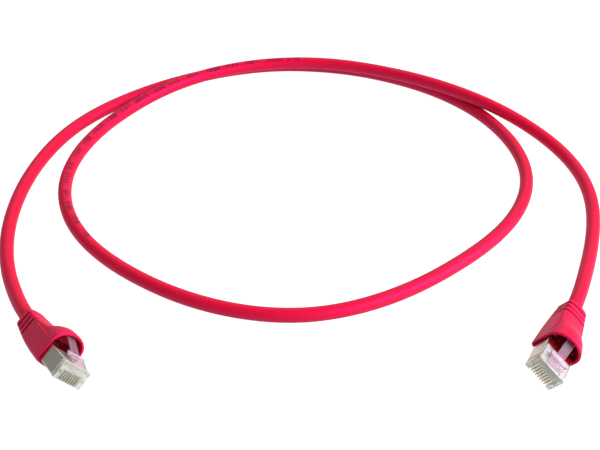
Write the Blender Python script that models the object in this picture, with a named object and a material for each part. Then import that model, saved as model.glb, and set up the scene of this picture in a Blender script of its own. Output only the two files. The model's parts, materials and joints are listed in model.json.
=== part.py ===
"""Shielded network patch cable: one free lead with an eight-contact modular plug on each end.

Metres, +Z up.  The lead lies on the floor in one and a half turns, and the two plugs rest
on the floor beside each other, rolled onto their edges.  The origin is on the floor under
the middle of the two plugs; the loop of cable is on the +Y side.

Each plug is modelled in its own frame: +X is the way it is pushed into a socket, +Y is
its width, +Z is the latch side, and x = 0 is the front face.
"""
import math

import bmesh
import bpy
import numpy as np
from mathutils import Matrix, Vector

MM = 0.001

# Plug body: the standard modular outline.
PLUG_WIDTH = 11.68 * MM
PLUG_HEIGHT = 6.60 * MM
PLUG_LENGTH = 17.5 * MM
CONTACT_COUNT = 8
CONTACT_PITCH = 1.016 * MM

# Stamped shield sheet, and how much of the clear body it leaves bare.
SHEET = 0.30 * MM
BARE_NOSE = 1.9 * MM
BARE_CONTACT_SIDE = 8.0 * MM
BARE_LATCH_SIDE = 13.5 * MM
SHIELD_LIP = 2.45 * MM
SHIELD_SEAM = 14.0
CRIMP_FACETS = 10

# Small coring pockets in the nose, one above the other beside each flank.
POCKET_WIDTH = 0.85 * MM
POCKET_HEIGHT = 0.90 * MM
POCKET_DEPTH = 0.70 * MM
POCKET_EDGE = 0.35 * MM
POCKET_HEIGHTS = (-0.75 * MM, 2.05 * MM)

# Contact blades and the slots they stand in.
CONTACT_THICKNESS = 0.35 * MM
SLOT_WIDTH = 0.70 * MM
SLOT_TOP = 0.45 * MM
SLOT_LENGTH = 5.9 * MM
CONTACT_RECESS = 0.40 * MM
CONTACT_NOSE = 0.75 * MM
CONTACT_HEADROOM = 0.20 * MM
TOOTH_COUNT = 2
TOOTH_WIDTH = 1.10 * MM
TOOTH_PITCH = 1.70 * MM

# Insulated wires, the bar that holds them in two rows, and the bay around it.
WIRE_DIAMETER = 0.90 * MM
WIRE_ROW_LOW = 0.30 * MM
WIRE_ROW_HIGH = 1.32 * MM
WIRE_RING = 1.55 * MM
BAR_CHEEK = 0.35 * MM
BAR_WALL = 0.22 * MM
BAR_FRONT = 6.9 * MM
BAR_LENGTH = 5.5 * MM
BAY_WALL_FRONT = 1.7 * MM
BAY_REAR_FLOOR = 0.5 * MM

# Latch: a springy tongue rooted at the nose; rises are above the plug's latch side.
LATCH_WIDTH = 6.3 * MM
LATCH_SHOULDER_WIDTH = 7.4 * MM
LATCH_LEVER_WIDTH = 3.25 * MM
LATCH_THICKNESS = 0.85 * MM
LATCH_CATCH = 1.25 * MM
LATCH_LENGTH = 14.0 * MM
LATCH_SHOULDER_REACH = 5.1 * MM
LATCH_SHOULDER_RISE = 1.95 * MM
LATCH_TIP_RISE = 4.70 * MM

# Cable, its screen and the moulded boot.
CABLE_DIAMETER = 5.3 * MM
SCREEN_THICKNESS = 0.35 * MM
CRIMP_LENGTH = 5.4 * MM
SHIELD_NECK = 2.5 * MM
JACKET_SETBACK = 1.5 * MM
PLUG_EXPOSED = 10.8 * MM
BOOT_TAIL = 17.9 * MM
BOOT_WALL = 0.95 * MM
BOOT_LIP = 0.40 * MM
BOOT_CORNER = 1.3 * MM
BOOT_HOOD_BASE = 0.7 * MM
BOOT_HOOD_REACH = 6.5 * MM
BOOT_REAR_WIDTH = 8.0 * MM
BOOT_REAR_TOP = 3.8 * MM
BOOT_REAR_FLOOR = 3.6 * MM
BOOT_BELLY = 0.7 * MM
GROOVE_COUNT = 3
GROOVE_FIRST = 2.2 * MM
GROOVE_PITCH = 2.5 * MM
GROOVE_WIDTH = 0.9 * MM
GROOVE_DEPTH = 0.55 * MM

# Clearances: pieces that touch, and pieces that lie close inside each other.
TOUCH = 0.30 * MM
SLIP = 0.14 * MM

HALF_W = PLUG_WIDTH / 2
HALF_H = PLUG_HEIGHT / 2
SKIN = SHEET + SLIP
BAR_HOLE = WIRE_DIAMETER + SLIP
BAR_HALF = (CONTACT_COUNT - 1) / 2 * CONTACT_PITCH + BAR_HOLE / 2 + BAR_CHEEK
BAY_HALF = BAR_HALF + TOUCH
BAY_FLOOR = WIRE_ROW_LOW - BAR_HOLE / 2 - BAR_WALL - TOUCH
BAY_CEILING = WIRE_ROW_HIGH + BAR_HOLE / 2 + BAR_WALL + TOUCH
JACKET_END = PLUG_LENGTH + JACKET_SETBACK
SHIELD_BACK = PLUG_LENGTH + TOUCH
CRIMP_START = SHIELD_BACK + SHIELD_NECK
CRIMP_END = JACKET_END + CRIMP_LENGTH
SCREEN_INNER = CABLE_DIAMETER / 2 + SLIP
SCREEN_OUTER = SCREEN_INNER + SCREEN_THICKNESS
CRIMP_HALF_FACET = math.radians(180.0 - SHIELD_SEAM) / CRIMP_FACETS
CRIMP_RADIUS = (SCREEN_OUTER + SLIP + SHEET / 2) / math.cos(CRIMP_HALF_FACET)
BOOT_REAR = PLUG_LENGTH + BOOT_TAIL
LATCH_AXIS = (-1.0 * MM, HALF_H + 0.25 * MM)
HOOD_INNER = HALF_H + LATCH_TIP_RISE + 0.30 * MM

# Where each plug lies: front face centre, heading from +X towards -Y, nose pitch, roll.
PLUG_POSES = {
    "left": {
        "nose": (-73.0 * MM, -16.2 * MM, 8.4 * MM),
        "heading": 57.3,
        "nose_up": 4.0,
        "roll": 51.0,
    },
    "right": {
        "nose": (76.7 * MM, -14.5 * MM, 7.6 * MM),
        "heading": 115.1,
        "nose_up": 1.4,
        "roll": 41.0,
    },
}

# The free lead between the boots, chosen by hand along its centre line (millimetres):
# it leaves the left boot, goes once round on the floor, climbs over itself and comes
# down to the right boot.
ROUTE_MM = [
    (-100.2, 29.0, 3.9), (-104.4, 39.4, 3.0), (-108.2, 51.9, 2.7), (-111.0, 68.4, 2.7),
    (-111.6, 88.4, 2.7), (-108.3, 114.2, 2.7), (-97.2, 144.0, 2.7), (-76.4, 169.0, 2.7),
    (-49.4, 187.4, 2.7), (-18.6, 198.0, 2.7), (13.8, 197.2, 2.7), (44.4, 185.8, 2.7),
    (69.8, 165.3, 2.7), (86.0, 137.0, 2.7), (90.0, 105.1, 2.7), (79.1, 74.8, 2.7),
    (57.6, 49.8, 2.7), (31.5, 30.3, 2.7), (0.6, 20.1, 2.7), (-31.6, 25.1, 2.7),
    (-59.9, 41.4, 2.7), (-82.5, 65.3, 2.7), (-94.0, 95.4, 2.7), (-91.5, 127.3, 2.7),
    (-76.8, 156.9, 3.2), (-53.6, 179.3, 5.0), (-23.9, 192.3, 6.1), (8.8, 193.4, 6.9),
    (39.6, 182.9, 7.7), (66.8, 165.4, 8.5), (91.3, 144.9, 6.3), (108.8, 119.1, 3.2),
    (113.0, 93.2, 2.7), (110.1, 71.4, 2.7), (105.2, 53.6, 3.2), (100.8, 40.4, 4.7),
]
CABLE_POINTS = 78
CABLE_END_CROWDING = 0.4


def clear_scene():
    for old in list(bpy.data.objects):
        bpy.data.objects.remove(old, do_unlink=True)


def material(name, colour, roughness, metallic=0.0, transmission=0.0):
    made = bpy.data.materials.new(name)
    made.use_nodes = True
    shader = made.node_tree.nodes["Principled BSDF"]
    shader.inputs["Base Color"].default_value = (*colour, 1.0)
    shader.inputs["Roughness"].default_value = roughness
    shader.inputs["Metallic"].default_value = metallic
    shader.inputs["Transmission Weight"].default_value = transmission
    made.diffuse_color = (*colour, 1.0)
    return made


def add_object(name, data, finish, parent=None):
    made = bpy.data.objects.new(name, data)
    bpy.context.collection.objects.link(made)
    if finish is not None:
        data.materials.append(finish)
    made.parent = parent
    return made


def mesh_from(name, points, faces, smooth_angle=None):
    """A closed mesh from corner points and faces, with its faces turned outwards."""
    data = bpy.data.meshes.new(name)
    build = bmesh.new()
    corners = [build.verts.new(point) for point in points]
    for face in faces:
        build.faces.new([corners[index] for index in face])
    bmesh.ops.recalc_face_normals(build, faces=build.faces)
    if build.calc_volume(signed=True) < 0:
        bmesh.ops.reverse_faces(build, faces=build.faces)
    build.to_mesh(data)
    build.free()
    if smooth_angle is not None:
        data.shade_smooth()
        data.set_sharp_from_angle(angle=math.radians(smooth_angle))
    return data


def box_mesh(name, boxes):
    """One mesh of separate boxes, each given as (x0, x1), (y0, y1), (z0, z1)."""
    points = []
    faces = []
    for x_span, y_span, z_span in boxes:
        start = len(points)
        points += [(x, y, z) for x in x_span for y in y_span for z in z_span]
        sides = [(0, 1, 3, 2), (4, 6, 7, 5), (0, 4, 5, 1), (2, 3, 7, 6), (0, 2, 6, 4), (1, 5, 7, 3)]
        faces += [tuple(start + index for index in side) for side in sides]
    return mesh_from(name, points, faces)


def cut_boxes(target, name, boxes):
    """Cuts a set of boxes out of a piece; the cutter stays as a wire guide."""
    cutter = add_object(name, box_mesh(name, boxes), None, target.parent)
    cutter.display_type = 'WIRE'
    cutter.hide_render = True
    cut = target.modifiers.new(name, 'BOOLEAN')
    cut.operation = 'DIFFERENCE'
    cut.object = cutter


def loft(name, rings, closed_loop, smooth_angle=None):
    """Joins rings of equally many points: a capped body, or a ring of rings."""
    count = len(rings[0])
    points = [point for ring in rings for point in ring]
    faces = []
    last = len(rings) if closed_loop else len(rings) - 1
    for row in range(last):
        after = (row + 1) % len(rings)
        for column in range(count):
            beside = (column + 1) % count
            faces.append((row * count + column, row * count + beside,
                          after * count + beside, after * count + column))
    if not closed_loop:
        faces.append(tuple(range(count)))
        faces.append(tuple((len(rings) - 1) * count + column for column in range(count)))
    return mesh_from(name, points, faces, smooth_angle)


def contact_places():
    """Offsets across the plug of the eight contacts, from -Y to +Y."""
    middle = (CONTACT_COUNT - 1) / 2
    return [(index - middle) * CONTACT_PITCH for index in range(CONTACT_COUNT)]


def wire_row(index):
    return WIRE_ROW_LOW if index % 2 == 0 else WIRE_ROW_HIGH


# Clear moulded body with its contact slots and wire bay.
def housing(side, frame, finish):
    body = add_object(f"{side}_plug_body", box_mesh("plug_body", [
        ((-PLUG_LENGTH, 0), (-HALF_W, HALF_W), (-HALF_H, HALF_H))]), finish, frame)
    past = 2 * MM
    far = PLUG_LENGTH + past
    cut_boxes(body, f"{side}_guide_side_rebates", [
        ((-far, -BARE_NOSE), (HALF_W - SKIN, HALF_W + past), (-HALF_H - past, HALF_H + past)),
        ((-far, -BARE_NOSE), (-HALF_W - past, -HALF_W + SKIN), (-HALF_H - past, HALF_H + past))])
    cut_boxes(body, f"{side}_guide_face_rebates", [
        ((-far, -BARE_LATCH_SIDE), (-HALF_W - past, HALF_W + past), (HALF_H - SKIN, HALF_H + past)),
        ((-far, -BARE_CONTACT_SIDE), (-HALF_W - past, HALF_W + past), (-HALF_H - past, -HALF_H + SKIN))])
    cut_boxes(body, f"{side}_guide_wire_bay", [
        ((-far, -BAY_WALL_FRONT), (-BAY_HALF, BAY_HALF), (BAY_FLOOR, BAY_CEILING))])
    bar_back = BAR_FRONT + BAR_LENGTH + 2 * TOUCH
    rear_floor = -HALF_H + SKIN + BAY_REAR_FLOOR
    cut_boxes(body, f"{side}_guide_rear_bay", [
        ((-far, -bar_back), (-BAY_HALF - SLIP, BAY_HALF + SLIP), (rear_floor, BAY_CEILING - SLIP))])
    cut_boxes(body, f"{side}_guide_slots", [
        ((-SLOT_LENGTH, past), (y - SLOT_WIDTH / 2, y + SLOT_WIDTH / 2), (-HALF_H - past, SLOT_TOP))
        for y in contact_places()])
    pocket_y = HALF_W - POCKET_EDGE - POCKET_WIDTH / 2
    cut_boxes(body, f"{side}_guide_nose_pockets", [
        ((-POCKET_DEPTH, past),
         (y - POCKET_WIDTH / 2, y + POCKET_WIDTH / 2),
         (z - POCKET_HEIGHT / 2, z + POCKET_HEIGHT / 2))
        for y in (-pocket_y, pocket_y) for z in POCKET_HEIGHTS])
    return body


# Gold contact blades: a body with a rounded nose, a tongue in the slot and teeth up to the wire.
def contact(side, frame, index, y, finish):
    tooth = wire_row(index) - WIRE_DIAMETER / 2 - SLIP
    top = BAY_FLOOR - CONTACT_HEADROOM
    low = -HALF_H + TOUCH
    front = -CONTACT_RECESS
    back = -SLOT_LENGTH + TOUCH
    tongue = SLOT_TOP - CONTACT_HEADROOM
    tongue_back = -BAY_WALL_FRONT + TOUCH
    inset = CONTACT_NOSE * (1 - math.sqrt(0.5))
    outline = [(front, tongue), (front, low + CONTACT_NOSE), (front - inset, low + inset),
               (front - CONTACT_NOSE, low), (back, low)]
    for number in range(TOOTH_COUNT):
        start = back + number * TOOTH_PITCH
        outline += [(start, top), (start + TOOTH_WIDTH / 2, tooth), (start + TOOTH_WIDTH, top)]
    outline += [(tongue_back, top), (tongue_back, tongue)]
    rings = [[(x, y + across, z) for x, z in outline]
             for across in (-CONTACT_THICKNESS / 2, CONTACT_THICKNESS / 2)]
    return add_object(f"{side}_contact_{index + 1}", loft("contact", rings, False), finish, frame)


# Bar that leads the eight wires to their contacts in two rows.
def wire_bar(side, frame, finish):
    low = BAY_FLOOR + TOUCH
    high = BAY_CEILING - TOUCH
    bar = add_object(f"{side}_wire_guide", box_mesh("wire_guide", [
        ((-BAR_FRONT - BAR_LENGTH, -BAR_FRONT), (-BAR_HALF, BAR_HALF), (low, high))]), finish, frame)
    sides = 8
    rings = []
    points = []
    faces = []
    for index, y in enumerate(contact_places()):
        start = len(points)
        for x in (-BAR_FRONT - BAR_LENGTH - MM, -BAR_FRONT + MM):
            for step in range(sides):
                angle = (step + 0.5) * 2 * math.pi / sides
                radius = BAR_HOLE / 2 / math.cos(math.pi / sides)
                points.append((x, y + radius * math.cos(angle),
                               wire_row(index) + radius * math.sin(angle)))
        for step in range(sides):
            beside = (step + 1) % sides
            faces.append((start + step, start + beside, start + sides + beside, start + sides + step))
        faces.append(tuple(range(start, start + sides)))
        faces.append(tuple(range(start + sides, start + 2 * sides)))
    cutter = add_object(f"{side}_guide_wire_holes", mesh_from("wire_holes", points, faces), None, frame)
    cutter.display_type = 'WIRE'
    cutter.hide_render = True
    cut = bar.modifiers.new("wire_holes", 'BOOLEAN')
    cut.operation = 'DIFFERENCE'
    cut.object = cutter
    return bar


# Insulated wires: straight through the bar, then gathered into the round jacket.
def wire(side, frame, index, y, finish):
    row = wire_row(index)
    step = 360.0 / CONTACT_COUNT
    below = index % 2 == 0
    angle = math.radians((-180.0 + step * (index // 2 + 0.5)) * (1 if below else -1))
    end_y = WIRE_RING * math.cos(angle)
    end_z = WIRE_RING * math.sin(angle)
    front = -BAY_WALL_FRONT - TOUCH
    bar_back = -(BAR_FRONT + BAR_LENGTH)
    back = -JACKET_END + TOUCH
    spread = back - bar_back
    # distance along the plug, and how far the wire has moved over to its place in the jacket
    stations = [(front, 0.0), (bar_back - TOUCH, 0.0), (bar_back + 0.3 * spread, 0.16),
                (bar_back + 0.55 * spread, 0.5), (bar_back + 0.8 * spread, 0.88), (back, 1.0)]
    data = bpy.data.curves.new(f"{side}_wire", 'CURVE')
    data.dimensions = '3D'
    data.bevel_depth = WIRE_DIAMETER / 2
    data.bevel_resolution = 1
    data.use_fill_caps = True
    line = data.splines.new('POLY')
    line.points.add(len(stations) - 1)
    for point, (x, share) in zip(line.points, stations):
        point.co = (x, y + (end_y - y) * share, row + (end_z - row) * share, 1.0)
    return add_object(f"{side}_wire_{index + 1}", data, finish, frame)


# Shield: one stamped sheet folded round the body, its tail closed round the screen.
def shield(side, frame, finish):
    across = HALF_W - SHEET / 2
    up = HALF_H - SHEET / 2
    lip = across - SHIELD_LIP
    folded = [(-lip, up), (-across, up), (-across, 0), (-across, -up), (-across / 2, -up), (0, -up),
              (across / 2, -up), (across, -up), (across, 0), (across, up), (lip, up)]
    last = CRIMP_FACETS
    seam = math.radians(SHIELD_SEAM)
    angles = [math.pi / 2 + seam + 2 * CRIMP_HALF_FACET * k for k in range(last + 1)]
    tail = [(CRIMP_RADIUS * math.cos(angle), CRIMP_RADIUS * math.sin(angle)) for angle in angles]
    rows = [(BARE_NOSE + SLIP, folded), (BARE_CONTACT_SIDE + SLIP, folded), (BARE_LATCH_SIDE + SLIP, folded),
            (SHIELD_BACK, folded), (CRIMP_START, tail), (CRIMP_END, tail)]
    points = [(-x, y, z) for x, outline in rows for y, z in outline]
    count = len(folded)
    flanks = [1, 2, last - 3, last - 2]
    no_lips = range(1, last - 1)
    kept = [flanks, no_lips, range(last), range(last), range(last)]
    faces = []
    for row, columns in enumerate(kept):
        for column in columns:
            here = row * count + column
            faces.append((here, here + 1, here + count + 1, here + count))
    data = bpy.data.meshes.new("shield")
    data.from_pydata(points, [], faces)
    build = bmesh.new()
    build.from_mesh(data)
    loose = [corner for corner in build.verts if not corner.link_faces]
    bmesh.ops.delete(build, geom=loose, context='VERTS')
    bmesh.ops.recalc_face_normals(build, faces=build.faces)
    build.to_mesh(data)
    build.free()
    sheet = add_object(f"{side}_shield", data, finish, frame)
    thicken = sheet.modifiers.new("sheet", 'SOLIDIFY')
    thicken.thickness = SHEET
    thicken.offset = 0.0
    thicken.use_even_offset = True
    return sheet


def tube(name, front, back, inner, outer, finish, frame, sides=20):
    """A plain sleeve about the plug's own axis."""
    rings = []
    turns = [2 * math.pi * k / sides for k in range(sides)]
    for x, radius in ((-front, outer), (-back, outer), (-back, inner), (-front, inner)):
        rings.append([(x, radius * math.cos(turn), radius * math.sin(turn)) for turn in turns])
    return add_object(name, loft(name, rings, True, 40), finish, frame)


# Latch: root, rising tongue, square shoulders and the lever under the boot's hood.
def latch(side, frame, finish):
    tongue = LATCH_WIDTH / 2
    lever = LATCH_LEVER_WIDTH / 2
    shoulder = LATCH_SHOULDER_WIDTH / 2
    reach = LATCH_SHOULDER_REACH
    thick = LATCH_THICKNESS
    base = HALF_H + SLIP
    step = HALF_H + LATCH_SHOULDER_RISE
    tip = HALF_H + LATCH_TIP_RISE
    chamfer = 0.05 * MM
    middle = 0.5 * (reach + LATCH_LENGTH)
    rise = 0.5 * (tip - step)
    round_start = LATCH_LENGTH - 0.6 * MM
    # distance behind the nose, underside, top, half width
    stations = [
        (0.45 * MM, base, base + 0.35 * MM, tongue),
        (0.9 * MM, base, base + 0.75 * MM, tongue),
        (1.9 * MM, base + 2 * chamfer, base + 1.05 * MM, tongue),
        (reach - LATCH_CATCH, step - LATCH_CATCH, step - 0.35 * MM, tongue),
        (reach - LATCH_CATCH + chamfer, step - LATCH_CATCH, step - 0.32 * MM, shoulder),
        (reach, step - thick, step, shoulder),
        (reach + chamfer, step - thick, step - chamfer, lever),
        (middle, step - thick + rise, step - chamfer + rise, lever),
        (round_start, tip - 1.2 * thick, tip - chamfer, lever),
        (LATCH_LENGTH, tip - 0.7 * thick, tip - 4 * chamfer, lever - 5 * chamfer),
    ]
    axis_x, axis_z = LATCH_AXIS
    rings = []
    for x, low, high, half in stations:
        corners = ((-half, low), (half, low), (half, high), (-half, high))
        rings.append([(-x - axis_x, across, z - axis_z) for across, z in corners])
    made = add_object(f"{side}_latch", loft("latch", rings, False), finish, frame)
    made.location = (axis_x, 0, axis_z)
    return made


def boot_section(x, half, low, shoulder, hood_half, high, corner, power):
    """A ring round the boot: rounded below, straight sides, then a hood arched over the top."""
    middle = half - corner
    lean = math.sqrt(0.5)
    right = [(0, low - 0.4 * MM), (0.45 * half, low - 0.3 * MM), (middle, low),
             (middle + corner * lean, low + corner * (1 - lean)), (half, low + corner),
             (half, shoulder - 0.3 * MM)]
    steps = 6
    for k in range(steps + 1):
        angle = 0.5 * math.pi * k / steps
        right.append((hood_half * math.cos(angle) ** (2 / power),
                      shoulder + (high - shoulder) * math.sin(angle) ** (2 / power)))
    right[-1] = (0, high)
    left = [(-y, z) for y, z in reversed(right[1:-1])]
    return [(-x, y, z) for y, z in right + left]


def pocket_section(x, half, low, high):
    """A square-cornered ring with as many points as a boot section."""
    right = [(0, low), (0.4 * half, low), (0.8 * half, low), (half, low), (half, 0.5 * low), (half, 0),
             (half, 0.35 * high), (half, 0.7 * high), (half, high), (0.75 * half, high), (0.5 * half, high),
             (0.25 * half, high), (0, high)]
    left = [(-y, z) for y, z in reversed(right[1:-1])]
    return [(-x, y, z) for y, z in right + left]


def hood_section(x, half, low, base, high, power):
    """The plug's pocket below and the latch's arched room above."""
    right = [(0, low), (0.4 * half, low), (0.8 * half, low), (half, low), (half, 0.5 * low)]
    steps = 7
    for k in range(steps + 1):
        angle = 0.5 * math.pi * k / steps
        right.append((half * math.cos(angle) ** (2 / power),
                      base + (high - base) * math.sin(angle) ** (2 / power)))
    right[-1] = (0, high)
    left = [(-y, z) for y, z in reversed(right[1:-1])]
    return [(-x, y, z) for y, z in right + left]


def bore_section(x, radius):
    """A round ring with as many points as a boot section."""
    count = 24
    turns = [2 * math.pi * k / count for k in range(count)]
    return [(-x, radius * math.sin(turn), -radius * math.cos(turn)) for turn in turns]


# Boot: soft moulding with a ribbed tail, a waist, and a hood that arches over the latch.
def boot(side, frame, finish):
    half_mouth = HALF_W + SLIP + BOOT_WALL
    floor = HALF_H + SLIP + BOOT_WALL
    crown = HOOD_INNER + BOOT_WALL
    shoulder_mouth = HALF_H + BOOT_HOOD_BASE

    def section(x, high, hood_share, power, sink=0.0):
        """Tapers evenly from the mouth to the rear, with a belly; sink cuts it in all round."""
        back = (x - PLUG_EXPOSED) / (BOOT_REAR - PLUG_EXPOSED)
        half = half_mouth + (BOOT_REAR_WIDTH / 2 - half_mouth) * back - sink
        low = floor + (BOOT_REAR_FLOOR - floor) * back + BOOT_BELLY * math.sin(math.pi * back) - sink
        shoulder = shoulder_mouth + (0.68 * BOOT_REAR_TOP - shoulder_mouth) * back ** 1.5 - 0.5 * sink
        return boot_section(x, half, -low, shoulder, hood_share * half, high - sink, BOOT_CORNER, power)

    outer = [section(BOOT_REAR, BOOT_REAR_TOP, 0.96, 2.4, 0.35 * MM),
             section(BOOT_REAR - BOOT_LIP, BOOT_REAR_TOP, 0.96, 2.4)]
    for number in range(GROOVE_COUNT):
        middle = BOOT_REAR - GROOVE_FIRST - number * GROOVE_PITCH
        high = BOOT_REAR_TOP + 0.2 * MM * (number + 1)
        for offset, sink in ((0.5, 0), (0.25, GROOVE_DEPTH), (-0.25, GROOVE_DEPTH), (-0.5, 0)):
            outer.append(section(middle + offset * GROOVE_WIDTH, high, 0.96, 2.4, sink))
    waist = BOOT_REAR - GROOVE_FIRST - GROOVE_COUNT * GROOVE_PITCH
    hood_middle = PLUG_EXPOSED + 0.7 * (LATCH_LENGTH - PLUG_EXPOSED)
    hood_back = LATCH_LENGTH + BOOT_HOOD_REACH
    outer += [
        section(waist, BOOT_REAR_TOP + 0.9 * MM, 0.95, 2.4),
        section(hood_back + 2.2 * MM, BOOT_REAR_TOP + 1.4 * MM, 0.92, 2.3),
        section(hood_back, crown - 3.1 * MM, 0.88, 2.1),
        section(hood_back - 2.5 * MM, crown - 1.3 * MM, 0.90, 2.0),
        section(LATCH_LENGTH + 1.5 * MM, crown - 0.3 * MM, 0.94, 2.0),
        section(hood_middle, crown + 0.05 * MM, 0.98, 2.0),
        section(PLUG_EXPOSED + BOOT_LIP, crown, 1.0, 2.0),
        section(PLUG_EXPOSED, crown, 1.0, 2.0, 0.3 * MM),
    ]
    half = HALF_W + SLIP
    low = -HALF_H - SLIP
    base = HALF_H + SLIP
    crimp_room = CRIMP_RADIUS + SHEET / 2 + TOUCH
    neck_room = max(base, crimp_room - TOUCH)
    bore = CABLE_DIAMETER / 2 + TOUCH
    inner = [
        hood_section(PLUG_EXPOSED, half + 0.3 * MM, low - 0.3 * MM, base, HOOD_INNER + 0.3 * MM, 2.0),
        hood_section(PLUG_EXPOSED + BOOT_LIP, half, low, base, HOOD_INNER, 2.0),
        hood_section(hood_middle, half, low, base, HOOD_INNER, 2.0),
        hood_section(LATCH_LENGTH + 1.5 * MM, half, low, base, HOOD_INNER - 0.4 * MM, 1.9),
        hood_section(LATCH_LENGTH + 2.4 * MM, half, low, base, HOOD_INNER - 1.2 * MM, 1.8),
        pocket_section(LATCH_LENGTH + 2.8 * MM, half, low, base),
        pocket_section(SHIELD_BACK + TOUCH, half, -neck_room, neck_room),
        bore_section(CRIMP_START + TOUCH, crimp_room),
        bore_section(CRIMP_END + TOUCH, crimp_room),
        bore_section(CRIMP_END + 2 * TOUCH, bore),
        bore_section(BOOT_REAR, bore),
    ]
    return add_object(f"{side}_boot", loft("boot", outer + inner, True, 35), finish, frame)


def plug_frame(side):
    """The empty that carries one plug, on the edge where its boot rests on the floor."""
    pose = PLUG_POSES[side]
    heading = math.radians(pose["heading"])
    rise = math.radians(pose["nose_up"])
    roll = math.radians(pose["roll"])
    level_reach = math.cos(rise)
    forward = Vector((math.cos(heading) * level_reach, -math.sin(heading) * level_reach, math.sin(rise)))
    level = Vector((0, 0, 1)).cross(forward).normalized()
    upright = forward.cross(level)
    latch_way = math.cos(roll) * upright + math.sin(roll) * level
    width_way = latch_way.cross(forward)
    axes = Matrix((forward, width_way, latch_way)).transposed()
    frame = bpy.data.objects.new(f"{side}_plug_frame", None)
    bpy.context.collection.objects.link(frame)
    frame.location = pose["nose"]
    frame.rotation_euler = axes.to_euler()
    return frame, axes


def natural_spline(knots, wanted):
    """Points evenly spaced along a natural cubic curve through the knots."""
    knots = np.array(knots)
    spans = np.linalg.norm(np.diff(knots, axis=0), axis=1)
    along = np.concatenate([[0.0], np.cumsum(spans)])
    count = len(knots)
    system = np.eye(count)
    drive = np.zeros_like(knots)
    for k in range(1, count - 1):
        system[k, k - 1] = spans[k - 1]
        system[k, k] = 2 * (spans[k - 1] + spans[k])
        system[k, k + 1] = spans[k]
        drive[k] = 6 * ((knots[k + 1] - knots[k]) / spans[k] - (knots[k] - knots[k - 1]) / spans[k - 1])
    bend = np.linalg.solve(system, drive)

    def at(distance):
        k = min(int(np.searchsorted(along, distance, side='right')) - 1, count - 2)
        a = (along[k + 1] - distance) / spans[k]
        b = 1 - a
        return (a * knots[k] + b * knots[k + 1]
                + ((a ** 3 - a) * bend[k] + (b ** 3 - b) * bend[k + 1]) * spans[k] ** 2 / 6)

    fine = np.array([at(distance) for distance in np.linspace(0, along[-1], 2000)])
    length = np.concatenate([[0.0], np.cumsum(np.linalg.norm(np.diff(fine, axis=0), axis=1))])
    # closer together near both ends, where the lead bends most
    even = np.linspace(0, 1, wanted)
    marks = length[-1] * (even - CABLE_END_CROWDING * np.sin(2 * math.pi * even) / (2 * math.pi))
    return np.column_stack([np.interp(marks, length, fine[:, axis]) for axis in range(3)])


# Cable: one jacketed lead from the crimp in the left boot to the crimp in the right one.
def cable(axes_by_side, finish):
    def on_axis(side, behind):
        forward = axes_by_side[side].col[0]
        return np.array(PLUG_POSES[side]["nose"]) - behind * np.array(forward)

    leaving = [BOOT_REAR + 0.5 * MM, BOOT_REAR + 3.0 * MM]
    knots = [on_axis("left", behind) for behind in leaving]
    knots += [np.array(point) * MM for point in ROUTE_MM]
    knots += [on_axis("right", behind) for behind in reversed(leaving)]
    centre = natural_spline(knots, CABLE_POINTS)
    centre[:, 2] = np.maximum(centre[:, 2], CABLE_DIAMETER / 2)
    centre = np.vstack([on_axis("left", JACKET_END), centre, on_axis("right", JACKET_END)])
    data = bpy.data.curves.new("cable", 'CURVE')
    data.dimensions = '3D'
    data.bevel_depth = CABLE_DIAMETER / 2
    data.bevel_resolution = 2
    data.use_fill_caps = True
    line = data.splines.new('POLY')
    line.points.add(len(centre) - 1)
    for point, place in zip(line.points, centre):
        point.co = (*place, 1.0)
    return add_object("cable", data, finish)


clear_scene()
red_jacket = material("red_jacket", (0.66, 0.006, 0.035), 0.42)
red_boot = material("red_boot", (0.68, 0.006, 0.04), 0.38)
clear_plastic = material("clear_plastic", (0.93, 0.95, 0.93), 0.06, transmission=0.9)
plated_steel = material("plated_steel", (0.62, 0.60, 0.52), 0.28, metallic=1.0)
gold = material("gold", (0.86, 0.66, 0.27), 0.22, metallic=1.0)
braid = material("tinned_braid", (0.55, 0.54, 0.52), 0.45, metallic=1.0)
wire_colours = {
    "white_orange": (0.95, 0.72, 0.50),
    "orange": (0.90, 0.30, 0.04),
    "white_green": (0.66, 0.86, 0.62),
    "blue": (0.04, 0.16, 0.62),
    "white_blue": (0.62, 0.72, 0.92),
    "green": (0.03, 0.42, 0.12),
    "white_brown": (0.80, 0.68, 0.55),
    "brown": (0.26, 0.11, 0.04),
}
wire_finishes = [material(f"wire_{name}", colour, 0.45) for name, colour in wire_colours.items()]

plug_axes = {}
for end in PLUG_POSES:
    carrier, plug_axes[end] = plug_frame(end)
    housing(end, carrier, clear_plastic)
    shield(end, carrier, plated_steel)
    latch(end, carrier, clear_plastic)
    wire_bar(end, carrier, clear_plastic)
    for number, offset in enumerate(contact_places()):
        contact(end, carrier, number, offset, gold)
        wire(end, carrier, number, offset, wire_finishes[number])
    tube(f"{end}_screen", CRIMP_START, CRIMP_END - TOUCH, SCREEN_INNER, SCREEN_OUTER, braid, carrier)
    boot(end, carrier, red_boot)
cable(plug_axes, red_jacket)
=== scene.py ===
"""Looks of a shielded patch cable: a red lead in one and a half turns with a plug on each end."""
import json
import math

import bmesh
import bpy
import numpy as np
from mathutils import Matrix, Vector


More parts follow.
